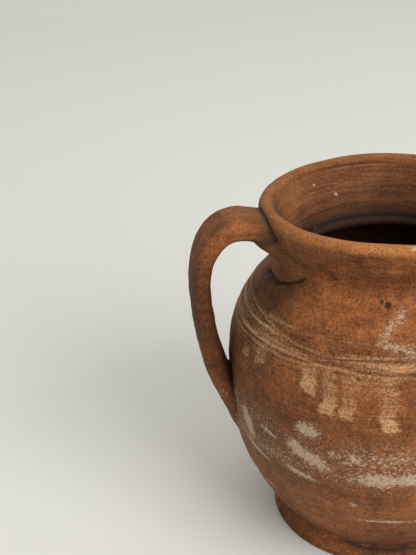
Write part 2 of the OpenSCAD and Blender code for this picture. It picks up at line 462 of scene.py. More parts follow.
def tube_faces(rings, around, reverse=False):
    """Faces of a tube of rings, closed at each end by a fan to one of two more points."""
    j = np.arange(rings - 1)[:, None] * around
    i = np.arange(around)[None]
    after = (i + 1) % around
    quads = np.stack([j + i, j + around + i, j + around + after, j + after], -1).reshape(-1, 4)
    start, end = rings * around, rings * around + 1
    last = (rings - 1) * around
    pairs = list(zip(i.ravel().tolist(), after.ravel().tolist()))
    fans = [(start, a, b) for a, b in pairs] + [(end, last + b, last + a) for a, b in pairs]
    faces = quads.tolist() + fans
    return [(f[0], *f[:0:-1]) for f in faces] if reverse else faces


def build_wall():
    rows = jar_outline()
    r, z, outside, inside = rows.T
    along = np.gradient(rows[:, :2], axis=0)
    length = np.linalg.norm(along, axis=1)
    n_r, n_z = along[:, 1] / length, -along[:, 0] / length
    az = np.arange(WALL_COLUMNS) * 360.0 / WALL_COLUMNS
    grid_az, grid_z = np.meshgrid(az, z)
    flat_az, flat_z = grid_az.ravel(), grid_z.ravel()

    def wide(values):
        return np.repeat(values, WALL_COLUMNS)

    base = on_axis(wide(r), flat_az, flat_z)
    out = wall_relief(flat_az, flat_z, base)
    sheet = unrolled(flat_az, flat_z, RIDGE_SCALE)
    within = layers(base, INSIDE_LUMPS) + layers(sheet, INSIDE_RIDGES)
    within -= 0.6 * bell(turn(flat_az, GROOVE_MIDDLE), 32) * bell(flat_z - LIP_GROOVE_Z, 0.8)
    d = wide(outside) * out + wide(inside) * within
    lip = bell(flat_z - JAR_H, 5) * bell(wide(r) - LIP_C[0] - 2, 5)
    for at, half, depth in RIM_CHIPS:
        d -= depth * bell(arc(flat_az, at, LIP_R), half) * lip
    d -= 0.9 * wide(outside) * lute_crack(flat_az, flat_z)
    wobble = out_of_round(flat_az, flat_z) + wide(outside) * luting(flat_az, flat_z)
    risen = flat_z + d * wide(n_z) + rim_rise(flat_az, flat_z)
    points = on_axis(wide(r) + wobble + d * wide(n_r), flat_az, risen)
    # nothing but the standing edge touches the floor, and that edge is flat
    points[:, 2] = np.where(wide(outside + inside) < 0.1, flat_z, np.maximum(points[:, 2], 0.2))

    points = np.vstack([points, [[0, 0, RECESS_H], [0, 0, FLOOR_TOP]]])
    return make_mesh("thrown_wall", points, tube_faces(len(rows), WALL_COLUMNS))


# -------- strap handles

# Each strap's noise seeds are moved on by this much
HANDS = {"left": 0, "right": 40}

# The strap's middle line, from inside the neck to inside the belly: radius and height
STRAP_PATH = np.array([
    (60, 211), (97, 222), (115, 210), (121.5, 186), (119, 146), (112, 116), (102, 91), (97.5, 75)
], float)
# Width and thickness, and how square the section is
STRAP_W, STRAP_T, STRAP_SQUARE = 32.0, 14.5, 3.6
# Degrees that the upper end is turned one way and the lower end the other
SKEW = 4.0
# Radius at which the strap's mesh starts
START_R = 76.0
AROUND = 96
RINGS = 230
# Soft lumps and the long ridges that fingers leave, then the drag marks for the colours
STRAP_LUMPS = [(0.6, 17, 31), (0.25, 6, 32), (0.1, 2.4, 34)]
FINGER_RIDGES = [(0.25, (2.2, 2.2, 60), 33)]
DRAG_MARKS = [(1.0, (1.2, 1.2, 45), 35), (0.6, (3, 3, 80), 36)]


def along_path(u):
    """Catmull-Rom curve through the strap's path, at u from 0 to 1."""
    ends = 2 * STRAP_PATH[[0, -1]] - STRAP_PATH[[1, -2]]
    p = np.vstack([ends[0], STRAP_PATH, ends[1]])
    s = np.asarray(u, float) * (len(STRAP_PATH) - 1)
    i = np.clip(np.floor(s).astype(int), 0, len(STRAP_PATH) - 2)
    t = (s - i)[:, None]
    a, b, c, d = p[i], p[i + 1], p[i + 2], p[i + 3]
    square, cube = 2 * a - 5 * b + 4 * c - d, 3 * b - a - 3 * c + d
    return 0.5 * (2 * b + t * (c - a) + t ** 2 * square + t ** 3 * cube)


def strap_depth(u):
    """The strap is thick where it starts, thinner near its middle, and pressed flat at its tip."""
    return (
        STRAP_T + 5 * np.maximum(0, 1 - u / 0.2) ** 2
        - 1.7 * np.sin(np.pi / 2 * np.minimum(2, u / 0.45)) ** 4
        - 8.5 * np.maximum(0, (u - 0.8) / 0.2) ** 2
    )


def strap_width(u):
    """The strap widens a little where it is pressed down, and ends in a round tip."""
    uneven = 0.05 * np.sin(9 * u + 0.5) * smooth(0.1, 0.3, u)
    spread = STRAP_W * (1 + uneven + 0.14 * smooth(0.75, 0.95, u))
    return spread * np.sqrt(1 - 0.92 * np.clip((u - 0.85) / 0.15, 0, 1) ** 2)


def section(count):
    """Rounded square of width 1 and depth 1, with evenly spaced points."""
    a = np.linspace(0, 2 * np.pi, 2001)
    x = np.sign(np.cos(a)) * np.abs(np.cos(a)) ** (2 / STRAP_SQUARE) / 2 * STRAP_W
    y = np.sign(np.sin(a)) * np.abs(np.sin(a)) ** (2 / STRAP_SQUARE) / 2 * STRAP_T
    run = np.concatenate([[0], np.cumsum(np.hypot(np.diff(x), np.diff(y)))])
    even = np.arange(count) / count * run[-1]
    return np.interp(even, run, x) / STRAP_W, np.interp(even, run, y) / STRAP_T


def strap_rings(us):
    """Rings of the strap on +X: points [ring, around, xyz]."""
    mid = along_path(us)
    step = along_path(np.minimum(1, us + 0.01)) - along_path(np.maximum(0, us - 0.01))
    g = np.arctan2(step[:, 1], step[:, 0])
    k = np.radians(SKEW * (1 - 2 * us))
    centre = np.stack([mid[:, 0] * np.cos(k), mid[:, 0] * np.sin(k), mid[:, 1]], 1)
    across = np.stack([-np.sin(k), np.cos(k), 0 * k], 1)
    out = np.stack([-np.sin(g) * np.cos(k), -np.sin(g) * np.sin(k), np.cos(g)], 1)
    x, y = section(AROUND)
    return (
        centre[:, None]
        + (strap_width(us)[:, None] * x)[..., None] * across[:, None]
        + (strap_depth(us)[:, None] * y)[..., None] * out[:, None]
    )


def build_handle(hand):
    """A strap from inside the neck's luted clay to inside the belly's wall, closed at both ends."""
    dense = np.linspace(0, 0.3, 600)
    first = float(np.interp(START_R, along_path(dense)[:, 0], dense))
    us = first + (1 - first) * np.linspace(0, 1, RINGS)
    rings = strap_rings(us)
    points = np.vstack([rings.reshape(-1, 3), rings[0].mean(0), rings[-1].mean(0)])
    if hand == "left":
        points[:, :2] *= -1
    obj = make_mesh(f"{hand}_strap", points, tube_faces(RINGS, AROUND, reverse=True))

    me = obj.data
    place, normals = surface(me)
    along = np.append(np.repeat(us, AROUND), [us[0], 1])
    turned = np.append(np.tile(np.arange(AROUND) * 2 * np.pi / AROUND, RINGS), [0, 0])
    pulled = np.column_stack([np.cos(turned) * 8, np.sin(turned) * 8, along * 250])
    shift = HANDS[hand]
    d = layers(place, STRAP_LUMPS, shift) + layers(pulled, FINGER_RIDGES, shift)
    move(me, place + normals * d[:, None])
    x, y = np.cos(turned), np.sin(turned)
    attribute(me, "side", smooth(0.1, 0.9, x) * between(y, -0.7, -0.2, 0.3, 0.9))
    attribute(me, "under", smooth(0.05, 0.6, -y))
    attribute(me, "top", smooth(0.1, 0.8, y))
    attribute(me, "along", along)
    attribute(me, "brush", layers(pulled, DRAG_MARKS, shift))
    return obj


FAR_AWAY = 99.0
SEARCH = 25.0


def gap_to(strap):
    """A function that gives the distance in mm from points to a strap, negative inside it."""
    here, _ = surface(strap.data)
    faces = [tuple(f.vertices) for f in strap.data.polygons]
    tree = BVHTree.FromPolygons([tuple(p) for p in here], faces)

    def gap(points):
        out = np.full(len(points), FAR_AWAY)
        for k, p in enumerate(points):
            at, normal, _, distance = tree.find_nearest(Vector(p), SEARCH)
            if at is not None:
                out[k] = distance if (Vector(p) - at).dot(normal) >= 0 else -distance
        return out

    return gap


def weld_handles(wall, straps):
    """Lets the wall and the straps flow into one another, and returns the wall's gaps in mm."""
    place, normals = surface(wall.data)
    az, z, r = azimuth(place), place[:, 2], np.hypot(place[:, 0], place[:, 1])
    gaps = np.full(len(place), FAR_AWAY)
    outside = r > np.where(z > NECK_Z, NECK_R, outer_r(np.clip(z, 1, JAR_H)) - 4)
    for strap, side in zip(straps, SIDES):
        off = np.abs(turn(az, side))
        upper = (off < 40) & (z > 180) & (z < JAR_H - 1)
        lower = (off < 24) & (z > 62) & (z < 130)
        near = outside & (upper | lower)
        moved, gap = weld(place[near], normals[near], gap_to(strap))
        place[near] = moved
        gaps[near] = np.minimum(gaps[near], gap)
    move(wall.data, place)
    for strap in straps:
        here, out = surface(strap.data)
        moved, gap = weld(here, out, wall_gap)
        move(strap.data, moved)
        attribute(strap.data, "near", bell(np.maximum(gap, 0), 4))
    return gaps


# -------- mesh helpers

def read(items, field, width):
    out = np.zeros(len(items) * width, np.float32)
    items.foreach_get(field, out)
    return out.reshape(-1, width).astype(float) if width > 1 else out.astype(float)


def place_in_scene(name, data):
    obj = bpy.data.objects.new(name, data)
    bpy.context.scene.collection.objects.link(obj)
    return obj


def make_mesh(name, points_mm, faces):
    me = bpy.data.meshes.new(name)
    me.from_pydata((np.asarray(points_mm) * MM).tolist(), [], faces)
    me.update()
    me.shade_smooth()
    obj = place_in_scene(name, me)
    recalculate(obj)
    return obj


def recalculate(obj):
    """Turns every face outwards."""
    bm = bmesh.new()
    bm.from_mesh(obj.data)
    bmesh.ops.recalc_face_normals(bm, faces=bm.faces)
    bm.to_mesh(obj.data)
    bm.free()
    obj.data.update()


def surface(me):
    """The points of a mesh in mm, and its normals."""
    return read(me.vertices, "co", 3) / MM, read(me.vertex_normals, "vector", 3)


def move(me, points_mm):
    me.vertices.foreach_set("co", (points_mm * MM).ravel())
    me.update()


def attribute(me, name, values):
    made = me.attributes.get(name) or me.attributes.new(name, "FLOAT", "POINT")
    made.data.foreach_set("value", np.asarray(values, np.float32))


# -------- stains and painted shade, by place on the jar

# Pale slip that ran below the shoulder lines: azimuth, top, bottom, half width in mm, strength
DRIPS = [
    (16.5, 152, 141, 4.0, 0.5), (25.5, 156, 141, 4.5, 0.45), (35, 155, 149, 4, 0.25),
    (48.6, 158, 139.5, 5.2, 1.15), (56.6, 157, 128.5, 4.8, 1.15), (63.4, 155, 126.5, 4.4, 0.7),
    (76.8, 154, 121.5, 4.8, 1.15), (92, 154, 133, 6, 0.7), (101, 156, 142, 5, 0.6),
    (128, 155, 124, 6, 0.9), (146, 156, 138, 5, 0.6), (203, 155, 128, 6, 0.9),
    (214, 156, 141, 5, 0.5), (243, 155, 120, 6, 0.9), (275, 156, 136, 5, 0.7),
    (296, 155, 131, 6, 0.6), (322, 156, 142, 5, 0.5),
]
# Scuffed lime: azimuth, height, half width and half height in mm, strength, rise across it
LIME = [
    (48.8, 114.5, 8, 4.2, 0.95, 0.0), (19.4, 96, 6.5, 7.5, 1.1, -0.8), (32, 101, 9, 2.4, 0.7, -0.15),
    (45, 98.5, 8, 4.8, 0.95, -0.35), (51, 94.0, 12, 6.0, 0.8, -0.3), (85.8, 228.6, 1.2, 0.9, 1.5, 0.0),
    (23, 79.5, 13, 1.5, 0.9, -0.25), (39, 91, 6, 2, 0.4, -0.3), (45, 79, 12, 2.2, 0.8, -0.15),
    (60, 102, 12, 2.2, 0.5, -0.1), (66, 100.5, 6, 4, 0.7, 0.0), (78, 102, 16, 2.6, 0.55, 0.05),
    (74, 86.4, 18, 5.4, 0.8, 0.0), (84, 87.2, 13, 5.4, 0.8, 0.1), (76, 49.2, 22, 0.9, 0.9, 0.0),
    (64, 50, 6, 1.0, 0.4, 0.0), (25, 49.6, 5, 1.6, 0.7, -0.3), (41, 50, 6, 1.1, 0.5, 0.2),
    (65, 63.5, 3, 2.4, 0.7, 0.0), (33, 66, 8, 1.2, 0.4, -0.2), (81.5, 183.3, 4.5, 3.6, 0.58, 0.5),
    (76, 178, 5, 3.6, 0.58, 0.6), (73.5, 174, 3, 3.5, 0.5, 0.0), (77, 170.8, 6.5, 2.6, 0.6, -0.2),
    (83, 168.5, 7, 3.0, 0.56, -0.4), (92.5, 112, 7, 4.5, 0.85, 0.0), (104, 96, 20, 7, 0.9, 0.1),
    (118, 110, 10, 3, 0.7, -0.1), (136, 84, 18, 4, 0.9, 0.05), (158, 101, 12, 5, 0.7, 0.0),
    (188, 88, 16, 5, 0.9, 0.1), (212, 106, 10, 3, 0.6, -0.2), (236, 80, 20, 4, 0.9, 0.0),
    (262, 96, 12, 5, 0.8, 0.2), (290, 112, 9, 4, 0.7, 0.0), (310, 86, 16, 4, 0.8, -0.1),
    (338, 98, 10, 4, 0.7, 0.1), (128, 178, 8, 4, 0.6, 0.2), (230, 182, 7, 4, 0.6, -0.3),
]
# White grains in the funnel: azimuth, height, radius
FUNNEL_SPOTS = [
    (-71.6, 208.7, 1.2), (-58.4, 217.4, 0.9), (-50, 192, 1.6), (60, 206, 1.2), (150, 212, 1.4),
]
# Warmer and duller zones on the wall: azimuth, height, half widths in mm, tone
ZONES = [
    (12, 198, 18, 13, -0.75), (36, 205, 13, 6, -0.5), (-32, 219, 26, 12, 1.0),
    (-90, 208, 50, 12, -0.35), (46, 186, 24, 14, 0.75), (60, 178, 20, 10, 0.55),
    (82, 186, 18, 16, 0.75), (12, 170, 30, 18, -0.9), (18, 178, 16, 10, -0.7),
    (52, 203, 30, 7, -0.35), (86, 203, 40, 9, -0.45), (20, 130, 30, 60, -0.45),
    (35, 90, 26, 22, -0.3), (78, 135, 30, 30, 0.55), (72, 112, 34, 14, 0.25),
    (60, 72, 40, 16, -0.1), (84, 62, 26, 12, 0.45), (56, 60, 14, 12, -0.25),
    (40, 30, 60, 14, -0.1), (34, 10, 36, 14, 0.35), (130, 130, 40, 40, 0.4),
    (200, 110, 60, 50, -0.3), (270, 150, 50, 40, 0.3), (320, 80, 40, 40, -0.35),
]
# Radii in mm at which runs of slip and grains in the funnel are laid out
DRIP_R = 100
FUNNEL_R = 66
# Noise layers of the firing's tone, on the wall and on the straps
WALL_TONES = [(0.3, 38, 53), (0.25, 15, 54), (0.18, 6, 63)]
STRAP_TONES = [(0.3, 24, 71), (0.25, 9, 72)]
# Heights at which dust and painted shade fade in under the lip, and painted shade fades in and out where a
# strap lands
LIP_JOINT = (208, 216)
LOW_JOINT = (88, 96, 130, 150)
# Azimuth, under the left handle, where a thin wash of slip was wiped over the lines
WIPED = 6
# Height of the soot in the foot's crease
SOOT_Z = 11


def wiped_side(az):
    return 1 - smooth(22, 40, np.abs(turn(az, WIPED)))


def slip_on_wall(az, z):
    """A brushed band between the lower two lines, a thinner wash round it, and runs below."""
    sheet = unrolled(az, z, STAIN_SCALE)
    drag = unrolled(az, z, RIDGE_SCALE)
    drag[:, 2] += 1.2 * noise(sheet, (30, 1, 400), 58)
    brushed = np.clip(0.95 + 1.1 * noise(drag, (34, 1, 1.1), 59), 0.3, 1.4)
    rub = 0.66 + 0.38 * noise(sheet, (9, 1, 300), 51)
    lower, middle, upper = knots(LOWER_LINE, az), knots(MIDDLE_LINE, az), knots(UPPER_LINE, az)

    slip = 0.9 * rub * brushed * between(z, lower - 0.6, lower + 1.2, middle - 1.2, middle + 0.8)
    slip += 0.6 * rub * bell(z - upper - 0.2, 0.7)
    slip += 0.6 * bell(z - middle - 1.6, 0.7) + 0.55 * bell(z - lower + 1.5, 0.7)
    thin = 1 - 0.6 * bell(z - (middle + upper) / 2, 2.2)
    slip += 0.5 * wiped_side(az) * brushed * thin * between(z, lower - 3, lower + 1, upper - 1, upper + 4)
    slip += 0.2 * brushed * between(z, lower, middle, middle, upper) * smooth(40, 80, az)
    speckle = 1 + noise(sheet, (5, 1, 30), 66)
    slip += 0.16 * speckle * between(z, lower - 16, lower - 3, lower - 2, lower)

    crooked = 1.5 * noise(sheet, (400, 1, 6), 52) + 0.8 * noise(sheet, (400, 1, 2.2), 60)
    ragged = 1.6 * noise(sheet, (1.2, 1, 400), 61)
    for at, top, bottom, half, strength in DRIPS:
        s = arc(az, at, DRIP_R) + crooked
        foot = bottom + ragged
        run = between(z, foot - 1.0, foot + 2.5, top - 6, top + 2)
        heavy = 0.3 + 0.8 * (1 - smooth(bottom + 4, bottom + 17, z))
        slip += strength * run * heavy * (1 - smooth(half * 0.55, half * 1.3, np.abs(s)))
    return slip


def lime_on_wall(az, z):
    """Scuffed patches, and a thin scatter of flecks round the belly's widest part."""
    sheet = unrolled(az, z, STAIN_SCALE)
    lime = np.zeros(len(az))
    for at, height, half_w, half_h, strength, rise in LIME:
        s = arc(az, at, outer_r(height))
        off = (z - height - rise * s) / half_h
        patch = np.exp(-np.abs(s / (1.2 * half_w)) ** 2.2 - np.abs(off / 1.3) ** 1.8)
        lime = np.maximum(lime, 1.3 * strength * patch)
    scatter = 0.45 + 0.18 * noise(sheet, (16, 1, 12), 62)
    scatter += 0.14 * bell(turn(az, 72), 16) * bell(z - 103, 12)
    haze = 0.2 + 0.12 * noise(sheet, (20, 1, 14), 67)
    lime = np.maximum(lime, scatter * between(z, 64, 88, 106, 124))
    return np.maximum(lime, haze * between(z, 16, 34, 100, 125))


def tone_of_wall(az, z, p):
    """How much warmer (above 0) or duller (below 0) the clay is coloured, from the firing's noise and the
    zones.
    """
    tone = layers(p, WALL_TONES)
    for at, height, half_w, half_h, level in ZONES:
        s = arc(az, at, outer_r(height))
        tone += level * np.exp(-(s / half_w) ** 2 - ((z - height) / half_h) ** 2)
    return tone


def soot_and_shade_on_wall(az, z, gap, on_wall, inside):
    """Soot in the foot's crease, darker along the bottom edge and the lower incised lines, and painted shade
    in the pits, the luting's crack and under it, every joint, the neck under the lip, the groove inside the
    lip and down the throat.
    """
    sheet = unrolled(az, z, STAIN_SCALE)
    # Soot in the foot's crease, and darker along the bottom edge
    crease = bell(z - SOOT_Z - 1.4 * noise(sheet, (14, 1, 300), 55), 2.8)
    reach = 0.2 + 0.8 * bell(turn(az, 76), 24) + 0.6 * bell(turn(az, 230), 40)
    blots = noise(sheet, (10, 1, 4), 56) + 0.7 * noise(sheet, (2.5, 1, 1.6), 65)
    soot_and_shade = 1.2 * crease * reach * smooth(-0.35, 0.3, blots + 0.1) + 0.3 * bell(z - 1, 2.5)
    # Painted shade in the pits
    for at, height, radius, _ in PITS:
        off = np.hypot(arc(az, at, outer_r(height)), z - height)
        soot_and_shade += 2.0 * (1 - smooth(0.6, 1.3, off / radius))
    # Darker along the lower two incised lines
    for (table, half, _, _), dark in zip(LINES[1:], (0.5 * smooth(45, 60, az), 0.25)):
        soot_and_shade += dark * bell(z - knots(table, az), half * 0.7)
    # Painted shade in the crack along the luted clay's lower edge, and just below it
    soot_and_shade += 1.1 * lute_crack(az, z) + 0.25 * shade_below_lute(az, z)
    # Painted shade in the crevices where each strap meets the lip and lands on the belly
    soot_and_shade += smooth(*LIP_JOINT, z) * (0.95 * bell(gap, 1.6) + 0.25 * bell(gap, 6))
    soot_and_shade += 0.7 * bell(gap, 2.5) * between(z, *LOW_JOINT)
    # Painted shade on the neck under the lip
    soot_and_shade += 0.12 * bell(z - 206, 8) * on_wall
    # Painted shade down the throat, in the groove inside the lip, and over the light caught at the narrowest
    # line
    shaded_depths = 1 - smooth(188, 212, z + 5 * noise(sheet, (12, 1, 400), 64))
    shaded_groove = bell(turn(az, GROOVE_MIDDLE), 30) * bell(z - LIP_GROOVE_Z, 0.6)
    soot_and_shade += inside * (0.5 * bell(z - 191, 5) + 0.9 * shaded_groove + 0.65 * shaded_depths)
    return soot_and_shade * np.maximum(on_wall, np.maximum(inside, 0.3))


def stains_of_wall(wall, gaps):
    """Writes the wall's masks of stains, painted shade and a painted highlight as point attributes, from
    each point's place on the jar.
    """
    me = wall.data
    p, _ = surface(me)
    az, z, r = azimuth(p), p[:, 2], np.hypot(p[:, 0], p[:, 1])
    gap = np.maximum(gaps, 0)
    skin = outer_r(np.clip(z, 1, JAR_H)) + out_of_round(az, z)
    on_wall = smooth(-5, -1, r - skin) * (1 - smooth(JAR_H - 1.5, JAR_H + 0.5, z))
    inside = (1 - smooth(-6, -2, r - skin)) * smooth(RECESS_H + 2, RECESS_H + 6, z)

    grains = np.zeros(len(p))
    for at, height, radius in FUNNEL_SPOTS:
        grains += bell(np.hypot(arc(az, at, FUNNEL_R), z - height), radius)
    worn = smooth(JAR_H - 8, JAR_H - 2, z) * (0.75 + 0.35 * noise(p, 9, 57))
    low_left = bell(turn(az, 34), 22) * bell(z - 84, 26)
    dust = 0.35 * low_left + 0.7 * smooth(*LIP_JOINT, z) * bell(gap, 6)
    dust += 0.15 * wiped_side(az) * smooth(120, 170, z) * on_wall

    attribute(me, "slip", np.clip(slip_on_wall(az, z) * on_wall, 0, 1))
    attribute(me, "lime", np.clip(np.maximum(lime_on_wall(az, z) * on_wall, 1.3 * grains * inside), 0, 1))
    attribute(me, "tone", np.clip(tone_of_wall(az, z, p), -1.5, 1.5))
    attribute(me, "soot_and_shade", np.clip(soot_and_shade_on_wall(az, z, gap, on_wall, inside), 0, 1))
    # Lip wear, strongest towards the front, where it is also a painted highlight
    attribute(me, "worn", np.clip(worn * (0.25 + 0.75 * bell(turn(az, 62), 44)), 0, 1))
    attribute(me, "inside", np.clip(inside, 0, 1))
    attribute(me, "dust", np.clip(dust, 0, 1))


def stains_of_strap(strap, hand):
    """Stain and painted-light masks of a handle: orange flanks with a painted highlight on one of them,
    painted shade on the underside, a dusty brown top, dust and painted shade where it joins the lip, and
    painted shade where it lands on the belly.
    """
    me = strap.data
    p, _ = surface(me)
    z = p[:, 2]
    shift = HANDS[hand]

    def stored(name):
        return read(me.attributes[name].data, "value", 1)

    side, top, under, along, near = (stored(name) for name in ("side", "top", "under", "along", "near"))
    tone = layers(p, STRAP_TONES, shift) - 1.1 * (1 - smooth(0.05, 0.16, along))
    # Painted highlight on the flank called side, the front flank of the left strap
    tone += 0.35 * side * between(along, 0.06, 0.14, 0.15, 0.4)
    tone += 0.1 * top * (1 - smooth(0.1, 0.3, along)) - 0.75 * smooth(0.18, 0.42, along)
    # Drag marks, and painted shade on the underside
    tone += 0.32 * stored("brush") - 0.8 * under
    root = 1 - smooth(82, 104, z)
    lime = 0.5 * bell(along - 0.8, 0.12) * (0.5 + 0.6 * noise(p, 7, 73 + shift)) * np.maximum(top, side)
    lime = np.maximum(lime, root * (0.42 + 0.2 * noise(p, 12, 75 + shift)))
    by_lip = z > LIP_JOINT[0]
    low_crease_shade = near ** 2 * between(z, *LOW_JOINT)

    attribute(me, "tone", np.clip(tone * (1 - 0.75 * root), -1.5, 1.5))
    attribute(me, "lime", np.clip(lime, 0, 1))
    # Painted shade in the crevices at the lip and the belly
    attribute(me, "soot_and_shade", np.clip(0.8 * near ** 3 * by_lip + 0.6 * low_crease_shade, 0, 1))
    attribute(me, "dust", np.clip(0.06 * top + 0.6 * near * by_lip, 0, 1))
    for unstained in ("slip", "worn", "inside"):
        attribute(me, unstained, np.zeros(len(p)))


# -------- materials

def srgb(r, g, b):
    """A colour given as 0..255 screen values, as linear light."""
    def one(v):
        v = v / 255
        return v / 12.92 if v <= 0.04045 else ((v + 0.055) / 1.055) ** 2.4
    return (one(r), one(g), one(b), 1.0)


class Nodes:
    """Short calls for building one material's node tree."""

    def __init__(self, name):
        self.mat = bpy.data.materials.new(name)
        self.mat.use_nodes = True
        self.tree = self.mat.node_tree
        self.shader = self.tree.nodes["Principled BSDF"]
        self.place = self.add("ShaderNodeTexCoord").outputs["Object"]

    def add(self, kind, **settings):
        node = self.tree.nodes.new(kind)
        for key, value in settings.items():
            setattr(node, key, value)
        return node

    def link(self, source, socket):
        if hasattr(source, "is_output"):
            self.tree.links.new(source, socket)
        else:
            socket.default_value = source

    def mask(self, name):
        return self.add("ShaderNodeAttribute", attribute_name=name).outputs["Fac"]

    def noise(self, scale, detail, rough, stretch=None):
        """Lumps, scale of them to a metre. stretch squeezes them along each axis."""
        node = self.add("ShaderNodeTexNoise")
        vector = self.place
        if stretch:
            mapping = self.add("ShaderNodeMapping")
            self.link(self.place, mapping.inputs["Vector"])
            mapping.inputs["Scale"].default_value = stretch
            vector = mapping.outputs["Vector"]
        self.link(vector, node.inputs["Vector"])
        node.inputs["Scale"].default_value = scale
        node.inputs["Detail"].default_value = detail
        node.inputs["Roughness"].default_value = rough
        return node.outputs["Fac"]

    def spots(self, scale):
        """Distance to the nearest of many scattered points, and a colour of its own for each."""
        node = self.add("ShaderNodeTexVoronoi")
        self.link(self.place, node.inputs["Vector"])
        node.inputs["Scale"].default_value = scale
        return node.outputs["Distance"], node.outputs["Color"]

    def ramp(self, value, *stops):
        node = self.add("ShaderNodeValToRGB")
        self.link(value, node.inputs["Fac"])
        marks = node.color_ramp.elements
        while len(marks) < len(stops):
            marks.new(0.5)
        for mark, (at, colour) in zip(marks, stops):
            mark.position = at
            mark.color = colour
        return node.outputs["Color"]

    def fit(self, value, low, high, to_low=0.0, to_high=1.0):
        """low..high taken to to_low..to_high, and held there outside it."""
        node = self.add("ShaderNodeMapRange")
        self.link(value, node.inputs["Value"])
        for name, number in zip(("From Min", "From Max", "To Min", "To Max"), (low, high, to_low, to_high)):
            node.inputs[name].default_value = number
        return node.outputs["Result"]

    def spread(self, noise, low, high):
        """A noise, which mostly stays from 0.3 to 0.7, taken to low..high."""
        return self.fit(noise, 0.3, 0.7, low, high)

    def swing(self, noise, amount):
        return self.spread(noise, -amount, amount)

    def math(self, operation, a, b, clamp=False):
        node = self.add("ShaderNodeMath", operation=operation, use_clamp=clamp)
        self.link(a, node.inputs[0])
        self.link(b, node.inputs[1])
        return node.outputs[0]

    def times(self, a, b, clamp=False):
        return self.math("MULTIPLY", a, b, clamp)

    def total(self, first, *others, clamp=False):
        for k, other in enumerate(others, 1):
            first = self.math("ADD", first, other, clamp and k == len(others))
        return first

    def mix(self, amount, a, b):
        node = self.add("ShaderNodeMix", data_type="RGBA")
        self.link(amount, node.inputs["Factor"])
        self.link(a, node.inputs["A"])
        self.link(b, node.inputs["B"])
        return node.outputs["Result"]


DEEP = srgb(74, 39, 17)
BROWN = srgb(113, 65, 31)
RED = srgb(142, 84, 45)
ORANGE = srgb(184, 115, 62)
SLIP = srgb(206, 160, 114)
LIME_WHITE = srgb(217, 193, 165)
SOOT_AND_SHADE = srgb(34, 26, 21)
WEAR_AND_HIGHLIGHT = srgb(212, 140, 78)
DUST = srgb(104, 90, 68)
INNER = (srgb(74, 42, 22), srgb(113, 69, 38), srgb(150, 97, 58))
PAPER = srgb(229, 229, 224)
PAPER_TINT = srgb(214, 214, 204)


class ClayNodes(Nodes):
    """Unglazed fired clay. Its layers share six textures and the masks kept on the mesh."""

    def __init__(self, name):
        super().__init__(name)
        self.broad = self.noise(18, 4, 0.6)
        self.mottle = self.noise(150, 4, 0.65)
        self.grain = self.noise(640, 4, 0.7)
        self.fine = self.noise(1500, 2, 0.6)
        self.streak = self.noise(60, 4, 0.65, (0.35, 0.35, 5.0))
        self.drag = self.noise(230, 3, 0.6, (0.15, 0.15, 3.6))

    def fired(self, rough):
        """The outer clay, from dark to orange by its firing."""
        level = self.total(
            self.spread(self.broad, 0.2, 0.7), self.times(self.mask("tone"), 0.36),
            self.swing(self.mottle, 0.18 * rough), self.swing(self.grain, 0.34 * rough),
            self.swing(self.streak, 0.08), self.swing(self.drag, 0.1), clamp=True,
        )
        return self.ramp(level, (0.0, DEEP), (0.33, BROWN), (0.6, RED), (1.0, ORANGE))

    def within(self):
        """The duller, streaked clay inside the mouth."""
        level = self.total(
            self.spread(self.streak, 0.0, 0.5), self.spread(self.grain, 0.0, 0.5),
            self.times(self.mask("tone"), 0.4), self.swing(self.drag, 0.26), clamp=True,
        )
        return self.ramp(level, (0.0, INNER[0]), (0.5, INNER[1]), (1.0, INNER[2]))

    def slip(self, holes):
        """A thin wash broken by the grain and dotted with bare clay."""
        given = self.mask("slip")
        broken = self.total(
            self.swing(self.grain, 0.3), self.swing(self.drag, 0.42),
            self.swing(self.noise(900, 2, 0.6), 0.3),
        )
        wash = self.fit(self.total(given, self.times(broken, self.fit(given, 0, 0.3))), 0.04, 1.25)
        return self.times(wash, self.fit(holes, 0.18, 0.4, 0.15, 1.0))

    def lime(self):
        """Flecks on the high spots, close together only in the middle of a patch."""
        given = self.mask("lime")
        fleck = self.noise(600, 4, 0.75, (0.75, 0.75, 1.15))
        white = self.fit(self.total(fleck, self.times(given, 0.36), -0.2), 0.49, 0.6)
        white = self.times(white, self.spread(self.grain, 0.5, 1.15), clamp=True)
        return self.times(white, self.fit(given, 0.02, 0.2))

    def pinholes(self):
        hole, chosen = self.spots(760)
        return self.times(self.fit(hole, 0.34, 0.2), self.fit(chosen, 0.5, 0.56))

    def specks(self, scale, edge, patch_scale, patch):
        """Grit, each speck as large as edge says, gathered where a broad noise is in patch."""
        spot, _ = self.spots(scale)
        return self.times(self.fit(spot, *edge), self.fit(self.noise(patch_scale, 2, 0.5), *patch))


# Heights of the bump's textures, each as a share of the bump's own height of 0.6 mm
BUMP_HEIGHTS = {"grain": 0.7, "fine": 0.25, "streak": 0.4, "mottle": 0.5}
BUMP_STRENGTH = 0.6
BUMP_M = 0.0006


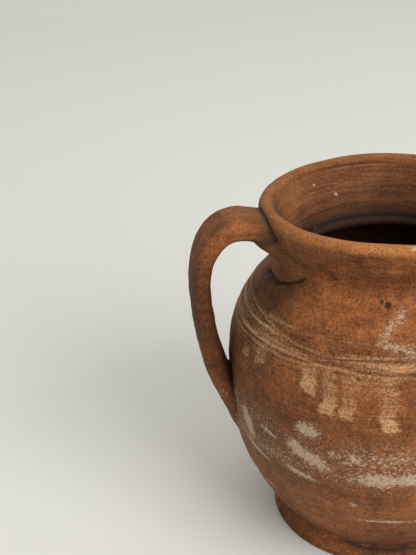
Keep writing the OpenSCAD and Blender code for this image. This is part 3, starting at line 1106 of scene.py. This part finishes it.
def clay(name, rough=1.0):
    """Unglazed fired clay with its stains, painted shade and a painted highlight, each kept to where its
    mask puts it.

    rough scales the mottling: less where wet hands drew the clay smooth.
    """
    n = ClayNodes(name)
    colour = n.mix(n.times(n.mask("inside"), 0.8), n.fired(rough), n.within())
    # Lip wear, with a painted highlight towards the front
    rubbed_and_lit = n.times(n.mask("worn"), n.fit(n.grain, 0.3, 0.6, 0.35, 1.0), clamp=True)
    colour = n.mix(n.times(rubbed_and_lit, 0.95), colour, WEAR_AND_HIGHLIGHT)
    dusty = n.times(n.mask("dust"), n.spread(n.mottle, 0.6, 1.1), clamp=True)
    colour = n.mix(n.times(dusty, 0.75), colour, DUST)

    holes, _ = n.spots(470)
    wash = n.slip(holes)
    white = n.lime()
    colour = n.mix(wash, colour, SLIP)
    colour = n.mix(n.fit(n.mask("lime"), 0.05, 1, 0, 0.08), colour, LIME_WHITE)
    colour = n.mix(n.times(white, 0.76), colour, LIME_WHITE)

    pinholes = n.pinholes()
    dark = n.specks(430, (0.26, 0.12), 80, (0.46, 0.58))
    pale = n.specks(300, (0.1, 0.05), 45, (0.54, 0.64))
    # Soot, and painted shade in the pits, cracks, joints and down the throat
    burnt_and_shaded = n.times(n.mask("soot_and_shade"), n.fit(n.grain, 0.25, 0.6, 0.7, 1.1), clamp=True)
    # Pinholes darkened with painted shade
    colour = n.mix(n.times(pinholes, 0.66), colour, SOOT_AND_SHADE)
    colour = n.mix(n.times(dark, 0.65), colour, SOOT_AND_SHADE)
    colour = n.mix(n.times(pale, 0.7), colour, LIME_WHITE)
    colour = n.mix(n.times(burnt_and_shaded, 0.9), colour, SOOT_AND_SHADE)
    colour = n.mix(n.spread(n.fine, 0.0, 0.3), colour, n.mix(0.5, colour, DEEP))
    n.link(colour, n.shader.inputs["Base Color"])

    matt = n.total(n.spread(n.grain, 0.62, 0.8), n.times(white, 0.12), clamp=True)
    n.link(matt, n.shader.inputs["Roughness"])
    n.shader.inputs["Specular IOR Level"].default_value = 0.25

    raised = [n.fit(getattr(n, key), 0.2, 0.8, 0.0, part) for key, part in BUMP_HEIGHTS.items()]
    sunk = n.total(
        n.times(dark, 0.7), n.times(pinholes, 0.5), n.times(wash, n.fit(holes, 0.3, 0.1, 0.0, 0.3)),
    )
    height = n.math("SUBTRACT", n.total(*raised, n.times(white, 0.25)), sunk)
    bump = n.add("ShaderNodeBump")
    bump.inputs["Strength"].default_value = BUMP_STRENGTH
    bump.inputs["Distance"].default_value = BUMP_M
    n.link(height, bump.inputs["Height"])
    n.link(bump.outputs["Normal"], n.shader.inputs["Normal"])
    return n.mat


def stage_paint(name):
    """Paper, with a hardly visible second tint in broad clouds."""
    n = Nodes(name)
    clouds = n.spread(n.noise(1.5, 3, 0.5), 0.0, 0.05)
    n.link(n.mix(clouds, PAPER, PAPER_TINT), n.shader.inputs["Base Color"])
    n.shader.inputs["Roughness"].default_value = 0.9
    n.shader.inputs["Specular IOR Level"].default_value = 0.1
    return n.mat


# -------- the object

WALL_NODES = ("foot_ring", "floor_disc", "lower_wall", "upper_wall", "neck", "rim_lip")
# Wet hands drew the straps smoother than the wall
STRAP_ROUGH = 0.7

wall = build_wall()
straps = [build_handle(hand) for hand in HANDS]
stains_of_wall(wall, weld_handles(wall, straps))
wall.data.materials.append(clay("wall_clay"))
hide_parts(*WALL_NODES)
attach(wall, "root")

handle_paint = clay("handle_clay", STRAP_ROUGH)
for strap, hand in zip(straps, HANDS):
    stains_of_strap(strap, hand)
    strap.data.materials.append(handle_paint)
    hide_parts(f"{hand}_handle", f"{hand}_upper_luting", f"{hand}_lower_luting")
    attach(strap, "root")


# -------- floor, light and camera

# In metres: where the flat floor ends in front, behind and at each side, then the radius of its
# bend and the height of the wall that it bends up into
FLOOR_FRONT, FLOOR_BACK, FLOOR_SIDE = -9.0, 1.6, 5.0
BEND, WALL_TOP = 1.2, 4.5
QUARTER = np.radians(np.linspace(0, 90, 13))

# Lights: place, size in metres, power in watts, colour
LIGHTS = {
    "key": ((1.05, -1.5, 1.3), (1.5, 1.5), 34, (1.0, 0.975, 0.94)),
    "top": ((0.3, 0.8, 2.2), (2.0, 2.0), 8, (1.0, 0.99, 0.97)),
}
STUDIO_COLOUR = (0.93, 0.93, 0.92, 1)
STUDIO_STRENGTH = 0.70

# The camera stands in front and a little to the left, looks down 26 degrees and leans 3
CAMERA_PLACE = (-0.1703, -0.6258, 0.4907)
CAMERA_YAW, CAMERA_DOWN, CAMERA_ROLL = -4.95, 25.99, -3.2
CAMERA_LENS, CAMERA_SENSOR = 71.35, 36.0


def build_stage():
    """A seamless tray of paper: a floor that bends up into a wall behind and at both sides."""
    stations = [((-FLOOR_SIDE, FLOOR_FRONT), 180.0)]
    stations += [((-FLOOR_SIDE, FLOOR_BACK), 180.0 - math.degrees(a)) for a in QUARTER]
    stations += [((FLOOR_SIDE, FLOOR_BACK), 90.0 - math.degrees(a)) for a in QUARTER]
    stations += [((FLOOR_SIDE, FLOOR_FRONT), 0.0)]
    profile = [(BEND * math.sin(a), BEND * (1 - math.cos(a))) for a in QUARTER] + [(BEND, WALL_TOP)]
    points = [
        (x + out * math.cos(math.radians(facing)), y + out * math.sin(math.radians(facing)), up)
        for (x, y), facing in stations for out, up in profile
    ]
    rows = len(profile)
    faces = [
        (i * rows + k, i * rows + k + 1, (i + 1) * rows + k + 1, (i + 1) * rows + k)
        for i in range(len(stations) - 1) for k in range(rows - 1)
    ]
    corner = len(QUARTER)
    faces.append((0, rows, (corner + 1) * rows, (len(stations) - 1) * rows))
    me = bpy.data.meshes.new("backdrop")
    me.from_pydata(points, [], faces)
    me.shade_smooth()
    me.materials.append(stage_paint("paper"))
    place_in_scene("backdrop", me)


def area_light(name, place, size, power, colour):
    """A soft light that faces the middle of the jar."""
    data = bpy.data.lights.new(name, "AREA")
    data.shape = "RECTANGLE"
    data.size, data.size_y = size
    data.energy = power
    data.color = colour
    obj = place_in_scene(name, data)
    obj.location = place
    towards = Vector((0.0, 0.0, JAR_H * MM / 2)) - Vector(place)
    obj.rotation_euler = towards.to_track_quat("-Z", "Y").to_euler()


def build_camera():
    data = bpy.data.cameras.new("camera")
    data.lens = CAMERA_LENS
    data.sensor_width = CAMERA_SENSOR
    obj = place_in_scene("camera", data)
    turned = (
        Matrix.Rotation(math.radians(CAMERA_YAW), 4, "Z")
        @ Matrix.Rotation(math.radians(90 - CAMERA_DOWN), 4, "X")
        @ Matrix.Rotation(math.radians(CAMERA_ROLL), 4, "Z")
    )
    obj.matrix_world = Matrix.Translation(CAMERA_PLACE) @ turned
    bpy.context.scene.camera = obj


def build_studio():
    world = bpy.data.worlds.new("studio")
    world.use_nodes = True
    background = world.node_tree.nodes["Background"]
    background.inputs["Color"].default_value = STUDIO_COLOUR
    background.inputs["Strength"].default_value = STUDIO_STRENGTH
    bpy.context.scene.world = world
    bpy.context.scene.view_settings.view_transform = "Standard"


build_stage()
for name, settings in LIGHTS.items():
    area_light(name, *settings)
build_camera()
build_studio()
